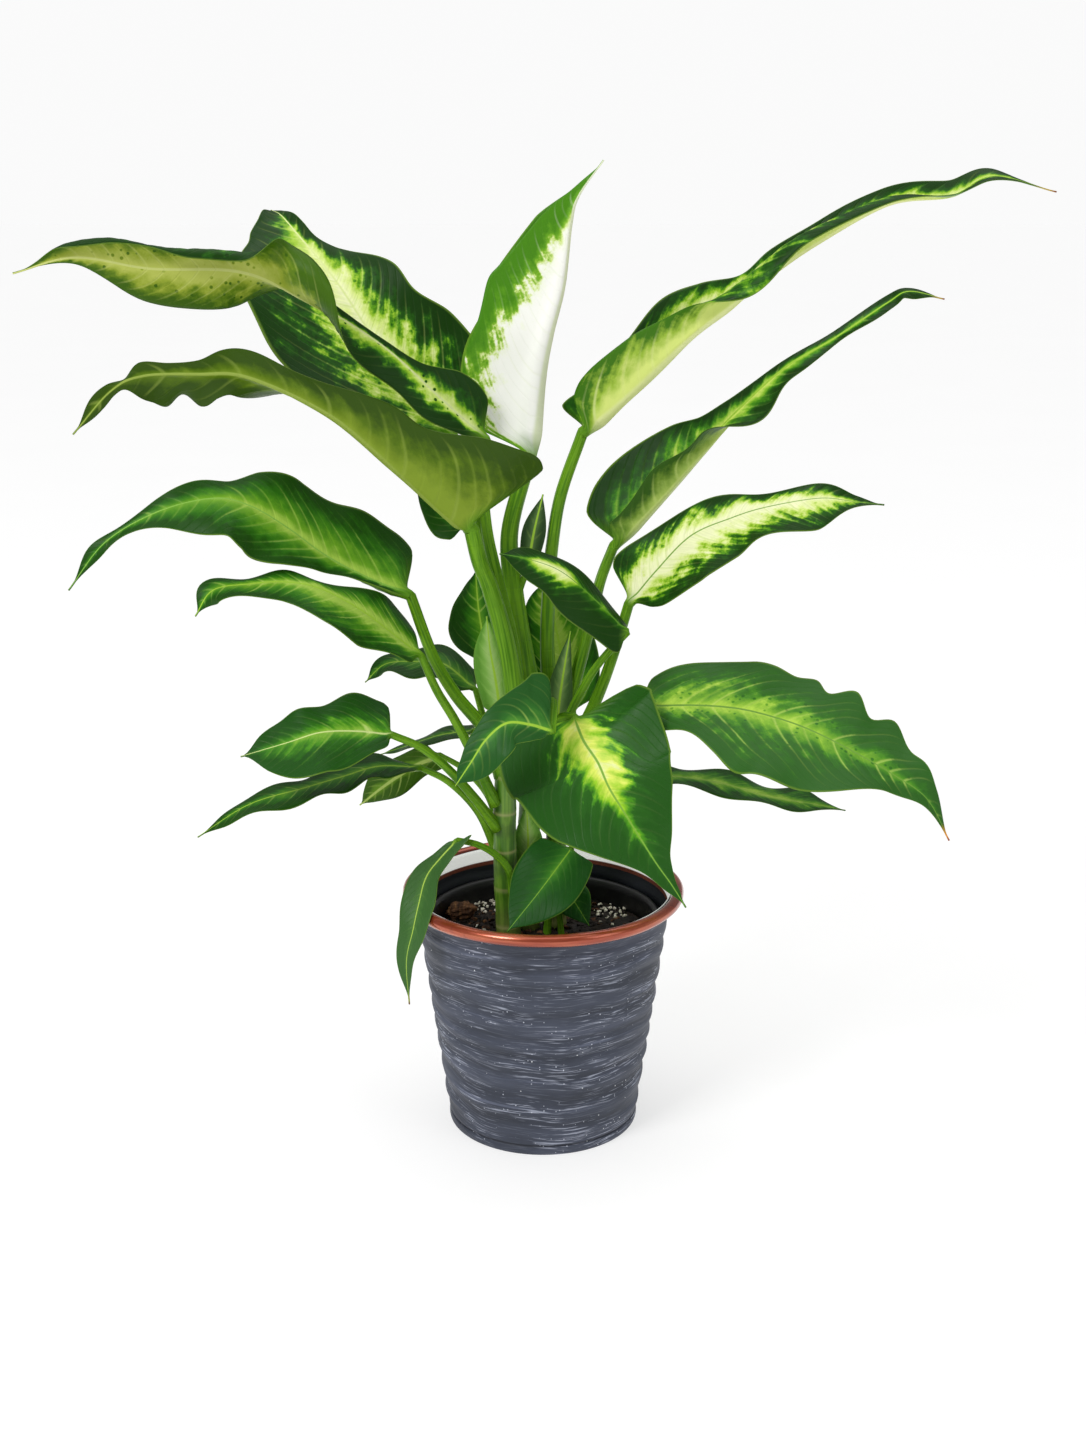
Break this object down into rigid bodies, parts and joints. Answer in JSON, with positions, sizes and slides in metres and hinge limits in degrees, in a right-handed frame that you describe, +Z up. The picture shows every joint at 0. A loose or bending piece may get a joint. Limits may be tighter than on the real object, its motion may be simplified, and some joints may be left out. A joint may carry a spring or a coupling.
{
  "type": "potted dieffenbachia",
  "caption": "Potted dieffenbachia: long variegated leaves on fleshy canes in a black nursery pot, set inside a ribbed slate-grey zinc planter with a copper-coloured rolled rim.",
  "frame": {"origin": "centre of the planter's flat underside, on the surface that it stands on", "axes": "+Z up, +Y away from the front, +X to the right of the front"},
  "size_m": [0.5522, 0.2117, 0.5743],
  "materials": {
    "leaf": "satin waxy leaf, dark green edge, lime and cream feathered centre",
    "stem": "smooth fleshy green cane",
    "zinc": "matt slate-grey paint, dry-brushed paler along the ripples",
    "copper": "satin copper-brown paint",
    "plastic": "satin black",
    "soil": "loose dark potting mix with white perlite",
    "bark": "rough bark chip"
  },
  "bodies": {
    "root": {"planter_shell": "zinc", "rim_bead": "copper", "nursery_pot": "plastic", "soil": "soil", "bark_lump": "bark", "cane_left": "stem", "cane_middle": "stem", "cane_right": "stem", "sheath_left": "leaf", "sheath_right": "leaf", "sheath_low": "leaf", "sheath_top": "leaf", "leaf_new_upright": "leaf", "leaf_left_arching": "leaf", "leaf_right_top": "leaf", "leaf_left_twisted": "leaf", "leaf_back_left": "leaf", "leaf_right_upper": "leaf", "leaf_right_cream": "leaf", "leaf_left_broad": "leaf", "leaf_left_wavy": "leaf", "leaf_right_large": "leaf", "leaf_front_heart": "leaf", "leaf_right_narrow": "leaf", "leaf_centre_drooping": "leaf", "leaf_centre_back": "leaf", "leaf_left_behind": "leaf", "leaf_left_inner": "leaf", "leaf_left_back_small": "leaf", "leaf_front_folded": "leaf", "leaf_left_low_short": "leaf", "leaf_left_low_long": "leaf", "leaf_left_low_curled": "leaf", "leaf_left_low_olive": "leaf", "leaf_over_rim": "leaf", "leaf_low_front": "leaf", "leaf_low_small": "leaf"}
  },
  "joints": []
}
